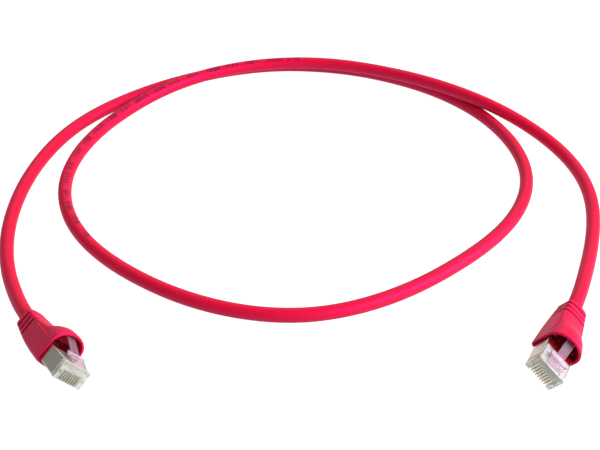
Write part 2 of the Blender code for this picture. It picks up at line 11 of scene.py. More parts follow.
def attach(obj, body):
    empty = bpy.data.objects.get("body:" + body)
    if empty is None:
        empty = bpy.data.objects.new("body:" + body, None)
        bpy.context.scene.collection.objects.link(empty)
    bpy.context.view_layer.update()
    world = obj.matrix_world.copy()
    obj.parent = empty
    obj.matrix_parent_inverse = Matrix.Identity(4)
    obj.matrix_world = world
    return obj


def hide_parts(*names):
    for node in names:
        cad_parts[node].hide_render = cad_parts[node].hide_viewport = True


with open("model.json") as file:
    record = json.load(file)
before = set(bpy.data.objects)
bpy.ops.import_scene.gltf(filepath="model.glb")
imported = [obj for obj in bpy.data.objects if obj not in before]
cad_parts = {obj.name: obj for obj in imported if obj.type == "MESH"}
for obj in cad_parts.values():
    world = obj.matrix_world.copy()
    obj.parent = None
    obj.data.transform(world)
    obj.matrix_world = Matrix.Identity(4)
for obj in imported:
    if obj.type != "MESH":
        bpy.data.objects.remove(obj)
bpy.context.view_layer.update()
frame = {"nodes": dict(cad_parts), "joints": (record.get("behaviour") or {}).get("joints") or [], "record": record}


# Camera: a long lens, 36 degrees above the floor and about 0.4 m from the nearer strands,
# so that the loop just fills the width of the picture.
CAMERA_PLACE = (-0.0010, -0.2911, 0.2670)
CAMERA_TILT = math.radians(36.0)
LENS_MM = 71.02
SENSOR_MM = 36.0
NEAREST_SEEN = 0.01


def placed(name, data):
    """A new object that holds the data, in the scene."""
    made = bpy.data.objects.new(name, data)
    bpy.context.scene.collection.objects.link(made)
    return made


camera_data = bpy.data.cameras.new("camera")
camera_data.lens = LENS_MM
camera_data.sensor_width = SENSOR_MM
camera_data.clip_start = NEAREST_SEEN
camera = placed("camera", camera_data)
camera.location = CAMERA_PLACE
camera.rotation_euler = (math.pi / 2 - CAMERA_TILT, 0, 0)
bpy.context.scene.camera = camera
bpy.context.scene.view_settings.view_transform = 'Standard'


# Floor: a seamless white sweep that stays pure white to the camera. It mirrors softly in the
# plugs' plating, and the room lights the lead from below instead of it.
FLOOR_SIZE = 8.0
FLOOR_GREY = (0.30, 0.30, 0.30, 1.0)
FLOOR_ROUGH = (0.86, 0.92)
FLOOR_GLOSS = 0.1
WHITE = (1.0, 1.0, 1.0, 1.0)


def new_finish(name):
    made = bpy.data.materials.new(name)
    made.use_nodes = True
    return made, made.node_tree, made.node_tree.nodes["Principled BSDF"]


def feed(tree, target, name, value):
    """Gives one socket a constant, or a link from another node's socket."""
    if isinstance(value, bpy.types.NodeSocket):
        tree.links.new(value, target.inputs[name])
    else:
        target.inputs[name].default_value = value


def node(tree, kind, sockets=None, **settings):
    """A node with its settings made first, because they decide which sockets it has."""
    made = tree.nodes.new(f"ShaderNode{kind}")
    for name, value in settings.items():
        setattr(made, name, value)
    for name, value in (sockets or {}).items():
        feed(tree, made, name, value)
    return made


def noise(tree, scale, detail, **vector):
    """Soft clouds from 0 to 1. Without a Vector they lie in the object's own box."""
    return node(tree, "TexNoise", {"Scale": scale, "Detail": detail, **vector}).outputs["Fac"]


def ranged(tree, value, span, seen=(0.0, 1.0)):
    """The value, carried from the span where it is seen to another."""
    made = node(tree, "MapRange", {"Value": value, "From Min": seen[0], "From Max": seen[1],
                                   "To Min": span[0], "To Max": span[1]})
    return made.outputs["Result"]


floor_finish, tree, shader = new_finish("floor_white")
feed(tree, shader, "Roughness", ranged(tree, noise(tree, 9.0, 2.0), FLOOR_ROUGH))
feed(tree, shader, "Base Color", FLOOR_GREY)
feed(tree, shader, "Specular IOR Level", FLOOR_GLOSS)
feed(tree, shader, "Emission Color", WHITE)
feed(tree, shader, "Emission Strength", 1.0)
bpy.ops.mesh.primitive_plane_add(size=FLOOR_SIZE, location=(0, 0, 0))
floor = bpy.context.object
floor.name = "floor"
floor.data.materials.append(floor_finish)
floor.visible_diffuse = False


# Light: one large soft box low on the right and a little in front, which lights the strands
# that run up to the right and leaves the others deep red, a strip at the back that draws
# bright lines on the plugs' folded edges, and a room of even white light.
LIGHT_AIM = Vector((0.0, 0.09, 0.0))
LIGHT_DISTANCE = 1.1
KEY_WAY = Vector((0.83, -0.30, 0.47))
KEY_SIZE = (0.75, 0.75)
KEY_POWER = 18.0
KEY_TINT = (1.0, 0.95, 1.18)
BACK_WAY = Vector((0.05, 0.80, 0.50))
BACK_SIZE = (1.2, 0.35)
BACK_POWER = 2.5
BACK_TINT = (1.0, 1.0, 1.0)
ROOM_BRIGHTNESS = 0.38


def soft_box(name, way, size, power, tint):
    light_data = bpy.data.lights.new(name, 'AREA')
    light_data.shape = 'RECTANGLE'
    light_data.size, light_data.size_y = size
    light_data.energy = power
    light_data.color = tint
    light = placed(name, light_data)
    light.location = LIGHT_AIM + way.normalized() * LIGHT_DISTANCE
    light.rotation_euler = (-way).to_track_quat('-Z', 'Y').to_euler()


soft_box("key_light", KEY_WAY, KEY_SIZE, KEY_POWER, KEY_TINT)
soft_box("back_light", BACK_WAY, BACK_SIZE, BACK_POWER, BACK_TINT)
room = bpy.data.worlds.new("room")
room.use_nodes = True
background = room.node_tree.nodes["Background"]
feed(room.node_tree, background, "Color", WHITE)
feed(room.node_tree, background, "Strength", ROOM_BRIGHTNESS)
bpy.context.scene.world = room


# Cable: one round lead with a satin red jacket over four screened pairs. It leaves the left
# boot, goes once round on the floor, climbs over itself and comes down to the right boot.
# Plain ink ticks, which mean nothing, run along a stretch of the jacket.
MM = 0.001
SIDES = ("left", "right")
CABLE_DIAMETER = 5.3 * MM
JACKET_END = 19.0 * MM
BOOT_REAR = 35.4 * MM
CABLE_LEAVES = (BOOT_REAR + 0.5 * MM, BOOT_REAR + 3.0 * MM)
MOUNT_ABOVE_AXIS = 1.05 * MM
ROUTE_MM = [
    (-100.2, 29.0, 3.9), (-104.4, 39.4, 3.0), (-108.2, 51.9, 2.7), (-111.0, 68.4, 2.7),
    (-111.6, 88.4, 2.7), (-108.3, 114.2, 2.7), (-97.2, 144.0, 2.7), (-76.4, 169.0, 2.7),
    (-49.4, 187.4, 2.7), (-18.6, 198.0, 2.7), (13.8, 197.2, 2.7), (44.4, 185.8, 2.7),
    (69.8, 165.3, 2.7), (86.0, 137.0, 2.7), (90.0, 105.1, 2.7), (79.1, 74.8, 2.7),
    (57.6, 49.8, 2.7), (31.5, 30.3, 2.7), (0.6, 20.1, 2.7), (-31.6, 25.1, 2.7),
    (-59.9, 41.4, 2.7), (-82.5, 65.3, 2.7), (-94.0, 95.4, 2.7), (-91.5, 127.3, 2.7),
    (-76.8, 156.9, 3.2), (-53.6, 179.3, 5.0), (-23.9, 192.3, 6.1), (8.8, 193.4, 6.9),
    (39.6, 182.9, 7.7), (66.8, 165.4, 8.5), (91.3, 144.9, 6.3), (108.8, 119.1, 3.2),
    (113.0, 93.2, 2.7), (110.1, 71.4, 2.7), (105.2, 53.6, 3.2), (100.8, 40.4, 4.7),
]
CABLE_STEP = 1.25 * MM
CABLE_SIDES = 32
CURVE_SAMPLES = 6000
PAIR_LAY = 36.0 * MM
PAIR_RIPPLE = 0.015 * MM
JACKET_RED = (0.78, 0.0030, 0.014, 1.0)
JACKET_DEEP = (0.70, 0.0024, 0.010, 1.0)
JACKET_ROUGH = (0.54, 0.66)
JACKET_GLOSS = 0.75
GLOSS_PINK = (1.0, 0.13, 0.92, 1.0)
STREAK_SCALE = (25.0, 40.0, 1.0)
INK = (0.035, 0.003, 0.018, 1.0)
INK_WEAR = (0.55, 0.95)
PRINT_FROM = 0.640
PRINT_TO = 0.830
PRINT_TURN = 0.05
PRINT_HALF_HEIGHT = 0.075
TICK_PITCH = 1.1 * MM
TICK_SHARE = (0.30, 0.75)
GROUP_PITCH = 9.7 * MM
GROUP_SHARE = (0.50, 0.85)


def plug_frame(side):
    """The plug's own axes at its nose: +X insertion way, +Y width, +Z latch side."""
    mount = next(m for m in frame["record"]["mounts"] if m["name"] == f"{side}_plug_front")
    hinge = next(j for j in frame["joints"] if j["name"] == f"{side}_latch_press")
    forward = Vector(mount["axis"]).normalized()
    across = -Vector(hinge["axis"])
    across = (across - forward * across.dot(forward)).normalized()
    up = forward.cross(across)
    made = Matrix((forward, across, up)).transposed().to_4x4()
    made.translation = Vector(mount["pos_m"]) - MOUNT_ABOVE_AXIS * up
    return made


def running_length(points):
    """The distance along the points, from the first one to each of them."""
    return np.concatenate([[0.0], np.cumsum(np.linalg.norm(np.diff(points, axis=0), axis=1))])


def spread_evenly(points, count):
    """The same line with its points at even distances."""
    length = running_length(points)
    marks = np.linspace(0, length[-1], count)
    return np.column_stack([np.interp(marks, length, along_axis) for along_axis in points.T])


def natural_spline(knots, step):
    """Points a step apart along a natural cubic curve through the knots."""
    along = running_length(knots)
    spans = np.diff(along)
    slopes = np.diff(knots, axis=0) / spans[:, None]
    count = len(knots)
    system = np.eye(count)
    drive = np.zeros_like(knots)
    for k in range(1, count - 1):
        system[k, k - 1:k + 2] = spans[k - 1], 2 * (spans[k - 1] + spans[k]), spans[k]
        drive[k] = 6 * (slopes[k] - slopes[k - 1])
    bend = np.linalg.solve(system, drive)
    fine = []
    for distance in np.linspace(0, along[-1], CURVE_SAMPLES):
        k = min(int(np.searchsorted(along, distance, side='right')) - 1, count - 2)
        a = (along[k + 1] - distance) / spans[k]
        b = 1 - a
        fine.append(a * knots[k] + b * knots[k + 1]
                    + ((a ** 3 - a) * bend[k] + (b ** 3 - b) * bend[k + 1]) * spans[k] ** 2 / 6)
    fine = np.array(fine)
    return spread_evenly(fine, int(running_length(fine)[-1] / step))


def mesh_from(build, name):
    data = bpy.data.meshes.new(name)
    build.to_mesh(data)
    build.free()
    return data


def dressed(piece, finish, smooth_angle):
    """Smooth shading over the folds flatter than an angle, and one finish all over."""
    piece.data.shade_smooth()
    piece.data.set_sharp_from_angle(angle=math.radians(smooth_angle))
    piece.data.materials.clear()
    piece.data.materials.append(finish)
    return piece


def add_mesh(name, rings, closed_loop, finish, smooth_angle=40.0):
    """A skin over rings of points, capped at its ends or closed on itself, with an even map of
    length and turn on it."""
    rows, count = len(rings), len(rings[0])
    build = bmesh.new()
    corners = [[build.verts.new(point) for point in ring] for ring in rings]
    around = build.loops.layers.uv.new("length_and_turn")
    lengths = running_length(np.array([np.mean(ring, axis=0) for ring in rings]))
    for row in range(rows if closed_loop else rows - 1):
        after = (row + 1) % rows
        for column in range(count):
            beside = (column + 1) % count
            face = build.faces.new((corners[row][column], corners[row][beside],
                                    corners[after][beside], corners[after][column]))
            places = (row, column), (row, column + 1), (row + 1, column + 1), (row + 1, column)
            for loop, (r, c) in zip(face.loops, places):
                loop[around].uv = (lengths[min(r, rows - 1)], c / count)
    if not closed_loop:
        build.faces.new(corners[0])
        build.faces.new(corners[-1])
    bmesh.ops.recalc_face_normals(build, faces=build.faces)
    if build.calc_volume(signed=True) < 0:
        bmesh.ops.reverse_faces(build, faces=build.faces)
    return dressed(placed(name, mesh_from(build, name)), finish, smooth_angle)


def tube_rings(centre, radius_at, sides):
    """Round rings along a path; turn 0 is the side that faces up."""
    centre = np.array(centre)
    ways = np.gradient(centre, axis=0)
    ways /= np.linalg.norm(ways, axis=1)[:, None]
    turns = np.arange(sides) * 2 * math.pi / sides
    rings = []
    for point, way, length in zip(centre, ways, running_length(centre)):
        top = np.array((0.0, 0.0, 1.0)) - way * way[2]
        top /= np.linalg.norm(top)
        beside = np.cross(way, top)
        radius = np.array([radius_at(length, turn) for turn in turns])
        spokes = np.outer(np.cos(turns), top) + np.outer(np.sin(turns), beside)
        rings.append(point + radius[:, None] * spokes)
    return rings


def maths(tree, operation, first, second=0.0, third=0.0):
    made = node(tree, "Math", {0: first, 1: second, 2: third}, operation=operation)
    return made.outputs[0]


def mixed(tree, share, first, second):
    """One colour that fades into another by a share."""
    made = node(tree, "Mix", {"Factor": share, "A": first, "B": second}, data_type='RGBA')
    return made.outputs["Result"]


def bumped(tree, shader, height, strength, distance):
    made = node(tree, "Bump", {"Height": height, "Strength": strength, "Distance": distance})
    feed(tree, shader, "Normal", made.outputs["Normal"])


def drawn(tree, cells, span):
    """One chance number between the span's ends for each whole cell."""
    chance = node(tree, "TexWhiteNoise", {"W": maths(tree, 'FLOOR', cells)}, noise_dimensions='1D')
    return maths(tree, 'MULTIPLY_ADD', chance.outputs["Value"], span[1] - span[0], span[0])


def ink_ticks(tree, along, turn, place):
    """How much ink there is: upright ticks of uneven width and height, in uneven groups."""
    ticks = maths(tree, 'DIVIDE', along, TICK_PITCH)
    groups = maths(tree, 'DIVIDE', along, GROUP_PITCH)
    wide = maths(tree, 'LESS_THAN', maths(tree, 'FRACT', ticks), drawn(tree, ticks, TICK_SHARE))
    filled = maths(tree, 'LESS_THAN', maths(tree, 'FRACT', groups), drawn(tree, groups, GROUP_SHARE))
    inside = maths(tree, 'MULTIPLY', maths(tree, 'GREATER_THAN', along, PRINT_FROM),
                   maths(tree, 'LESS_THAN', along, PRINT_TO))
    # turn runs from 0 to 1 round the jacket, so the ticks' middle is brought to one half first
    shifted = maths(tree, 'FRACT', maths(tree, 'ADD', turn, 0.5 - PRINT_TURN))
    offset = maths(tree, 'ABSOLUTE', maths(tree, 'SUBTRACT', shifted, 0.5))
    height = drawn(tree, ticks, (0.5 * PRINT_HALF_HEIGHT, PRINT_HALF_HEIGHT))
    tall = maths(tree, 'LESS_THAN', offset, height)
    worn = ranged(tree, noise(tree, 2600.0, 2.0, Vector=place), INK_WEAR, seen=(0.30, 0.50))
    shape = maths(tree, 'MULTIPLY', maths(tree, 'MULTIPLY', wide, filled),
                  maths(tree, 'MULTIPLY', inside, tall))
    return maths(tree, 'MULTIPLY', shape, worn)


def jacket_finish():
    """Satin red plastic with fine drawn streaks along it, and the ink ticks."""
    made, tree, shader = new_finish("red_jacket")
    skin = node(tree, "UVMap", uv_map="length_and_turn").outputs["UV"]
    place = node(tree, "TexCoord").outputs["Object"]
    split = node(tree, "SeparateXYZ", {"Vector": skin})
    red = mixed(tree, noise(tree, 55.0, 3.0, Vector=place), JACKET_DEEP, JACKET_RED)
    ink = ink_ticks(tree, split.outputs["X"], split.outputs["Y"], place)
    feed(tree, shader, "Base Color", mixed(tree, ink, red, INK))

    stretched = node(tree, "Mapping", {"Vector": skin, "Scale": STREAK_SCALE}).outputs["Vector"]
    streak = noise(tree, 1.0, 4.0, Vector=stretched)
    feed(tree, shader, "Roughness", ranged(tree, streak, JACKET_ROUGH))
    bumped(tree, shader, streak, strength=0.25, distance=0.06 * MM)
    feed(tree, shader, "Specular Tint", GLOSS_PINK)
    feed(tree, shader, "Specular IOR Level", JACKET_GLOSS)
    return made


plugs = {side: plug_frame(side) for side in SIDES}


def on_axis(side, behind):
    """The point on a plug's axis at a distance behind its nose."""
    return np.array(plugs[side] @ Vector((-behind, 0, 0)))


knots = [on_axis("left", behind) for behind in CABLE_LEAVES]
knots += [np.array(point) * MM for point in ROUTE_MM]
knots += [on_axis("right", behind) for behind in reversed(CABLE_LEAVES)]
lead_path = natural_spline(np.array(knots), CABLE_STEP)
lead_path[:, 2] = np.maximum(lead_path[:, 2], CABLE_DIAMETER / 2)
inner_steps = np.arange(JACKET_END, CABLE_LEAVES[0], CABLE_STEP)
lead_path = np.vstack([[on_axis("left", behind) for behind in inner_steps], lead_path,
                       [on_axis("right", behind) for behind in reversed(inner_steps)]])


def jacket_radius(length, turn):
    """The pairs inside show as the faintest slow twist."""
    return CABLE_DIAMETER / 2 - PAIR_RIPPLE * (1 + math.cos(2 * turn + 2 * math.pi * length / PAIR_LAY))


lead = add_mesh("lead_jacket", tube_rings(lead_path, jacket_radius, CABLE_SIDES), False, jacket_finish())
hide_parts("cable")
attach(lead, "lead")


# Plug bodies: clear polycarbonate, moulded in one shot with eight slots for the contacts,
# a bay for the wires and small coring pockets in the nose. The moulding's edges are eased.
# The rear is painted dark red, as painted shade and a painted reflection that stand for the lead and the boot
# showing through it.
PLUG_WIDTH = 11.68 * MM
PLUG_HEIGHT = 6.60 * MM
PLUG_LENGTH = 17.5 * MM
SHEET = 0.30 * MM
SLIP = 0.14 * MM
SKIN = SHEET + SLIP
HALF_W = PLUG_WIDTH / 2
HALF_H = PLUG_HEIGHT / 2
BARE_NOSE = 1.9 * MM
BARE_CONTACT_SIDE = 8.0 * MM
BARE_LATCH_SIDE = 13.5 * MM
CONTACTS = 8
CONTACT_PITCH = 1.016 * MM
SLOT_WIDTH = 0.70 * MM
SLOT_TOP = 0.45 * MM
SLOT_LENGTH = 5.9 * MM
BAY_HALF = 4.73 * MM
BAY_FLOOR = -0.74 * MM
BAY_CEILING = 2.36 * MM
BAY_FRONT = 1.7 * MM
POCKET_DEPTH = 0.7 * MM
POCKET_HALF_WIDTH = 0.425 * MM
POCKET_HALF_HEIGHT = 0.45 * MM
POCKET_WALL = 0.35 * MM
POCKET_HEIGHTS = (-0.75 * MM, 2.05 * MM)
EASED_EDGE = 0.07 * MM
BODY_TINT = (0.88, 0.91, 0.76, 1.0)
BODY_HAZE = 0.72
# painted shade and painted reflection of the red boot, on the rear of the clear body
PAINTED_SHADE_RED = (0.36, 0.005, 0.009, 1.0)
PAINTED_SHADE_HAZE = 0.88
RED_FROM = 7.9 * MM
RED_TO = 8.7 * MM
RED_RIPPLE = 0.5 * MM
PLASTIC_INDEX = 1.58
contact_places = [(index - (CONTACTS - 1) / 2) * CONTACT_PITCH for index in range(CONTACTS)]


def box_data(name, spans):
    """Separate boxes in one mesh, each given as (x0, x1), (y0, y1), (z0, z1)."""
    build = bmesh.new()
    for x_span, y_span, z_span in spans:
        middle = Vector((sum(x_span), sum(y_span), sum(z_span))) / 2
        size = Vector((x_span[1] - x_span[0], y_span[1] - y_span[0], z_span[1] - z_span[0]))
        made = bmesh.ops.create_cube(build, size=1.0)
        for corner in made["verts"]:
            corner.co = middle + corner.co * size
    return mesh_from(build, name)


def ease_edges(piece, width, fold, harden=False):
    """Rounds every edge that folds by more than an angle, and keeps the result as plain mesh."""
    ease = piece.modifiers.new("ease", 'BEVEL')
    ease.width = width
    ease.segments = 2
    ease.limit_method = 'ANGLE'
    ease.angle_limit = math.radians(fold)
    ease.harden_normals = harden
    seen = piece.evaluated_get(bpy.context.evaluated_depsgraph_get())
    data = bpy.data.meshes.new_from_object(seen)
    piece.modifiers.clear()
    piece.data = data


def carved(name, solid, cuts, finish):
    """One box with other boxes cut out and every edge eased, and a map of what lies behind
    the nose."""
    made = placed(name, box_data(name, [solid]))
    cutters = []
    for number, spans in enumerate(cuts):
        cutter = placed(f"{name}_cut_{number}", box_data("cut", spans))
        cutters.append(cutter)
        cut = made.modifiers.new("cut", 'BOOLEAN')
        cut.object = cutter
    ease_edges(made, EASED_EDGE, 40.0, harden=True)
    dressed(made, finish, 50.0)
    for cutter in cutters:
        bpy.data.objects.remove(cutter)
    behind = made.data.uv_layers.new(name="behind_nose")
    for loop in made.data.loops:
        corner = made.data.vertices[loop.vertex_index].co
        behind.data[loop.index].uv = (-corner.x, corner.y)
    return made


def seat(piece, side, body, slot, *nodes):
    """Moves a piece made in the plug's own axes to that plug, and ties it to its body."""
    piece.data.transform(plugs[side])
    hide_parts(*nodes)
    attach(piece, body)
    return piece


def clear_finish(name, tint, cloudiness, clearness, index=PLASTIC_INDEX, low_rough=0.03):
    """Clear moulded plastic: mostly see-through, with flow lines that bend the light a little."""
    made, tree, shader = new_finish(name)
    place = node(tree, "TexCoord").outputs["Object"]
    flow = noise(tree, 420.0, 2.0, Vector=place)
    feed(tree, shader, "Base Color", tint)
    feed(tree, shader, "Roughness", ranged(tree, flow, (low_rough, low_rough + 0.11)))
    feed(tree, shader, "IOR", index)
    feed(tree, shader, "Transmission Weight", clearness)
    feed(tree, shader, "Alpha", ranged(tree, flow, (0.9 * cloudiness, 1.1 * cloudiness)))
    bumped(tree, shader, flow, strength=0.12, distance=0.05 * MM)
    return made


def paint_shade_on_rear(finish, tint, cloudiness):
    """Paints the rear of the clear body dark red, with an uneven edge: painted shade and a painted reflection of
    the boot.
    """
    tree = finish.node_tree
    shader = tree.nodes["Principled BSDF"]
    place = node(tree, "UVMap", uv_map="behind_nose").outputs["UV"]
    split = node(tree, "SeparateXYZ", {"Vector": place})
    ripple = noise(tree, 900.0, 2.0, Vector=place)
    wavy = maths(tree, 'MULTIPLY_ADD', ripple, RED_RIPPLE, split.outputs["X"])
    share = ranged(tree, wavy, (0.0, 1.0), seen=(RED_FROM, RED_TO))
    feed(tree, shader, "Base Color", mixed(tree, share, tint, PAINTED_SHADE_RED))
    feed(tree, shader, "Alpha", ranged(tree, share, (cloudiness, PAINTED_SHADE_HAZE)))


past = 2 * MM
far = PLUG_LENGTH + past
all_across = (-HALF_W - past, HALF_W + past)
all_up = (-HALF_H - past, HALF_H + past)
pocket_y = HALF_W - POCKET_WALL - POCKET_HALF_WIDTH
housing_cuts = [
    # seats for the folded sheet: the two sides, then the latch side and the contact side
    [((-far, -BARE_NOSE), (HALF_W - SKIN, HALF_W + past), all_up),
     ((-far, -BARE_NOSE), (-HALF_W - past, -HALF_W + SKIN), all_up)],
    [((-far, -BARE_LATCH_SIDE), all_across, (HALF_H - SKIN, HALF_H + past)),
     ((-far, -BARE_CONTACT_SIDE), all_across, (-HALF_H - past, -HALF_H + SKIN))],
    # the bay for the wires, the contacts' slots and the pockets
    [((-far, -BAY_FRONT), (-BAY_HALF, BAY_HALF), (BAY_FLOOR, BAY_CEILING))],
    [((-SLOT_LENGTH, past), (y - SLOT_WIDTH / 2, y + SLOT_WIDTH / 2), (-HALF_H - past, SLOT_TOP))
     for y in contact_places],
    [((-POCKET_DEPTH, past), (y - POCKET_HALF_WIDTH, y + POCKET_HALF_WIDTH),
      (z - POCKET_HALF_HEIGHT, z + POCKET_HALF_HEIGHT))
     for y in (-pocket_y, pocket_y) for z in POCKET_HEIGHTS],
]
housing_finish = clear_finish("clear_plastic", BODY_TINT, BODY_HAZE, 0.40)
# the rear of the body is painted dark red, as shade and as a reflection of the boot
paint_shade_on_rear(housing_finish, BODY_TINT, BODY_HAZE)
for side in SIDES:
    housing = carved(f"{side}_clear_body", ((-PLUG_LENGTH, 0.0), (-HALF_W, HALF_W), (-HALF_H, HALF_H)),
                     housing_cuts, housing_finish)
    seat(housing, side, "lead", "clear_plastic", f"{side}_plug_body")


# Contacts: eight stamped blades, gold over nickel, pressed into the slots until their teeth
# bite through the wires. Their front edge is rounded where the socket's springs ride.
CONTACT_THICKNESS = 0.35 * MM
CONTACT_RECESS = 0.40 * MM
CONTACT_NOSE = 0.75 * MM
BLADE_GAP = 0.30 * MM
BLADE_TOP_GAP = 0.20 * MM
TOOTH_PITCH = 1.70 * MM
TOOTH_WIDTH = 1.10 * MM
TOOTH_POINT = (0.48, 0.52)
WIRE_RADIUS = 0.45 * MM
WIRE_ROWS = (0.30 * MM, 1.32 * MM)
GOLD = (0.66, 0.59, 0.43, 1.0)
GOLD_DEEP = (0.54, 0.46, 0.31, 1.0)
GOLD_ROUGH = (0.16, 0.34)


def metal_finish(name, light, dark, roughness, scale, stretch=(1.0, 1.0, 1.0)):
    """Plated metal: a slow change of tone, and fine rolling marks in roughness and bump."""
    made, tree, shader = new_finish(name)
    place = node(tree, "TexCoord").outputs["Object"]
    slow = noise(tree, scale / 5, 2.0, Vector=place)
    rolled = node(tree, "Mapping", {"Vector": place, "Scale": stretch}).outputs["Vector"]
    fine = noise(tree, scale, 4.0, Vector=rolled)
    feed(tree, shader, "Base Color", mixed(tree, slow, dark, light))
    feed(tree, shader, "Metallic", 1.0)
    feed(tree, shader, "Roughness", ranged(tree, fine, roughness))
    bumped(tree, shader, fine, strength=0.15, distance=0.03 * MM)
    return made


def quarter_turn(steps):
    """Angles at even steps over a quarter of a turn."""
    return [0.5 * math.pi * k / steps for k in range(steps + 1)]


def blade_outline(index):
    """The blade from its side: a rounded front edge, a flat foot, two teeth and a tongue."""
    top = BAY_FLOOR - BLADE_TOP_GAP
    tooth = WIRE_ROWS[index % 2] - WIRE_RADIUS - SLIP
    low = -HALF_H + BLADE_GAP
    front = -CONTACT_RECESS
    back = -SLOT_LENGTH + BLADE_GAP
    tongue = SLOT_TOP - BLADE_TOP_GAP
    outline = [(front, tongue)]
    outline += [(front - CONTACT_NOSE * (1 - math.cos(angle)), low + CONTACT_NOSE * (1 - math.sin(angle)))
                for angle in quarter_turn(6)]
    outline += [(back, low), (back, top)]
    for start in (back, back + TOOTH_PITCH):
        if start > back:
            outline.append((start, top))
        outline += [(start + share * TOOTH_WIDTH, tooth) for share in TOOTH_POINT]
        outline.append((start + TOOTH_WIDTH, top))
    return outline + [(-BAY_FRONT + BLADE_GAP, top), (-BAY_FRONT + BLADE_GAP, tongue)]


gold_finish = metal_finish("gold", GOLD, GOLD_DEEP, GOLD_ROUGH, 900.0)
for side in SIDES:
    for index, y in enumerate(contact_places):
        outline = blade_outline(index)
        half = CONTACT_THICKNESS / 2
        rings = [[(x, y + across, z) for x, z in outline] for across in (-half, half)]
        blade = add_mesh(f"{side}_contact_blade_{index + 1}", rings, False, gold_finish, 30.0)
        seat(blade, side, "lead", "gold", f"{side}_contact_{index + 1}")


# Wires: eight insulated conductors in four twisted pairs. Each plain colour has a mate that is
# white with a stripe of that colour. They run through the guide in two rows to the contacts.
JACKET_FRONT = JACKET_END - 0.30 * MM
WIRE_FRONT = BAY_FRONT + 0.30 * MM
GUIDE_FRONT = 6.9 * MM
GUIDE_LENGTH = 5.5 * MM
GUIDE_GAP = 0.3 * MM
WIRE_RING = 1.55 * MM
WIRE_GAP = 0.01 * MM
WIRE_POINTS = 40
WIRE_SIDES = 16
WIRE_COLOURS = {
    "white_orange": (0.92, 0.26, 0.03, 1.0),
    "orange": (0.92, 0.26, 0.03, 1.0),
    "white_green": (0.03, 0.42, 0.12, 1.0),
    "blue": (0.03, 0.12, 0.62, 1.0),
    "white_blue": (0.03, 0.12, 0.62, 1.0),
    "green": (0.03, 0.42, 0.12, 1.0),
    "white_brown": (0.24, 0.09, 0.03, 1.0),
    "brown": (0.24, 0.09, 0.03, 1.0),
}
INSULATION_WHITE = (0.86, 0.86, 0.82, 1.0)
WIRE_ROUGH = (0.28, 0.42)
STRIPE_TURNS = 90.0
STRIPE_SHARE = 0.24


def wire_finish(name, colour):
    """Glossy insulation; the white ones carry a stripe that winds slowly round them."""
    made, tree, shader = new_finish(f"wire_{name}")
    paint = colour
    if name.startswith("white"):
        skin = node(tree, "UVMap", uv_map="length_and_turn").outputs["UV"]
        split = node(tree, "SeparateXYZ", {"Vector": skin})
        wound = maths(tree, 'MULTIPLY_ADD', split.outputs["X"], STRIPE_TURNS, split.outputs["Y"])
        stripe = maths(tree, 'LESS_THAN', maths(tree, 'FRACT', wound), STRIPE_SHARE)
        paint = mixed(tree, stripe, INSULATION_WHITE, colour)
    feed(tree, shader, "Base Color", paint)
    feed(tree, shader, "Roughness", ranged(tree, noise(tree, 1500.0, 2.0), WIRE_ROUGH))
    return made


def even_s(x, start, end):
    """From 0 at the start to 1 at the end, level at both."""
    share = min(max((x - start) / (end - start), 0.0), 1.0)
    return share * share * (3 - 2 * share)


def wire_path(index, y):
    """Straight through the guide, then an even S into its place in the jacket."""
    row = WIRE_ROWS[index % 2]
    angle = math.radians((-180.0 + 45.0 * (index // 2 + 0.5)) * (1 if index % 2 == 0 else -1))
    start = GUIDE_FRONT + GUIDE_LENGTH + GUIDE_GAP
    centre = []
    for x in np.linspace(WIRE_FRONT, JACKET_FRONT, WIRE_POINTS):
        share = even_s(x, start, JACKET_FRONT)
        centre.append((-x, y + (WIRE_RING * math.cos(angle) - y) * share,
                       row + (WIRE_RING * math.sin(angle) - row) * share))
    return centre


wire_finishes = {name: wire_finish(name, colour) for name, colour in WIRE_COLOURS.items()}
for side in SIDES:
    for index, (name, y) in enumerate(zip(WIRE_COLOURS, contact_places)):
        rings = tube_rings(wire_path(index, y), lambda length, turn: WIRE_RADIUS - WIRE_GAP, WIRE_SIDES)
        wire = add_mesh(f"{side}_{name}_wire", rings, False, wire_finishes[name])
        seat(wire, side, "lead", f"wire_{name}", f"{side}_wire_{index + 1}")


# Wire guides: small clear bars with eight holes, pushed over the wires before the plug. Their
# shape is the frame's, in a slightly milky grade of the same plastic.
GUIDE_TINT = (0.80, 0.80, 0.76, 1.0)
GUIDE_HAZE = 0.80


def refinish(name, finish):
    """Gives a piece whose shape stays as it is in the frame its finish."""
    materials = frame["nodes"][name].data.materials
    materials.clear()
    materials.append(finish)


guide_finish = clear_finish("milky_plastic", GUIDE_TINT, GUIDE_HAZE, 0.2)
for side in SIDES:
    refinish(f"{side}_wire_guide", guide_finish)


# Screens: the cable's tinned braid, folded back over the jacket so that the crimp grips it.
# Crossed strands show as a fine basket weave. Their shape is the frame's too.
BRAID_LIGHT = (0.66, 0.65, 0.62, 1.0)
BRAID_DARK = (0.30, 0.29, 0.27, 1.0)
BRAID_TILT = math.radians(40.0)
BRAID_SLANT = math.radians(45.0)


def braid_finish():
    """Two sets of strands that cross, the higher one of them on top."""
    made, tree, shader = new_finish("tinned_braid")
    place = node(tree, "TexCoord").outputs["Object"]
    strands = []
    for way in (1.0, -1.0):
        turn = (0.0, way * BRAID_TILT, way * BRAID_SLANT)
        turned = node(tree, "Mapping", {"Vector": place, "Rotation": turn}).outputs["Vector"]
        wave = node(tree, "TexWave", {"Vector": turned, "Scale": 900.0, "Distortion": 0.6})
        strands.append(wave.outputs["Fac"])
    weave = maths(tree, 'MAXIMUM', *strands)
    feed(tree, shader, "Base Color", mixed(tree, weave, BRAID_DARK, BRAID_LIGHT))
    feed(tree, shader, "Metallic", 1.0)
    feed(tree, shader, "Roughness", 0.38)
    bumped(tree, shader, weave, strength=0.6, distance=0.08 * MM)
    return made


woven = braid_finish()
for side in SIDES:
    refinish(f"{side}_screen", woven)


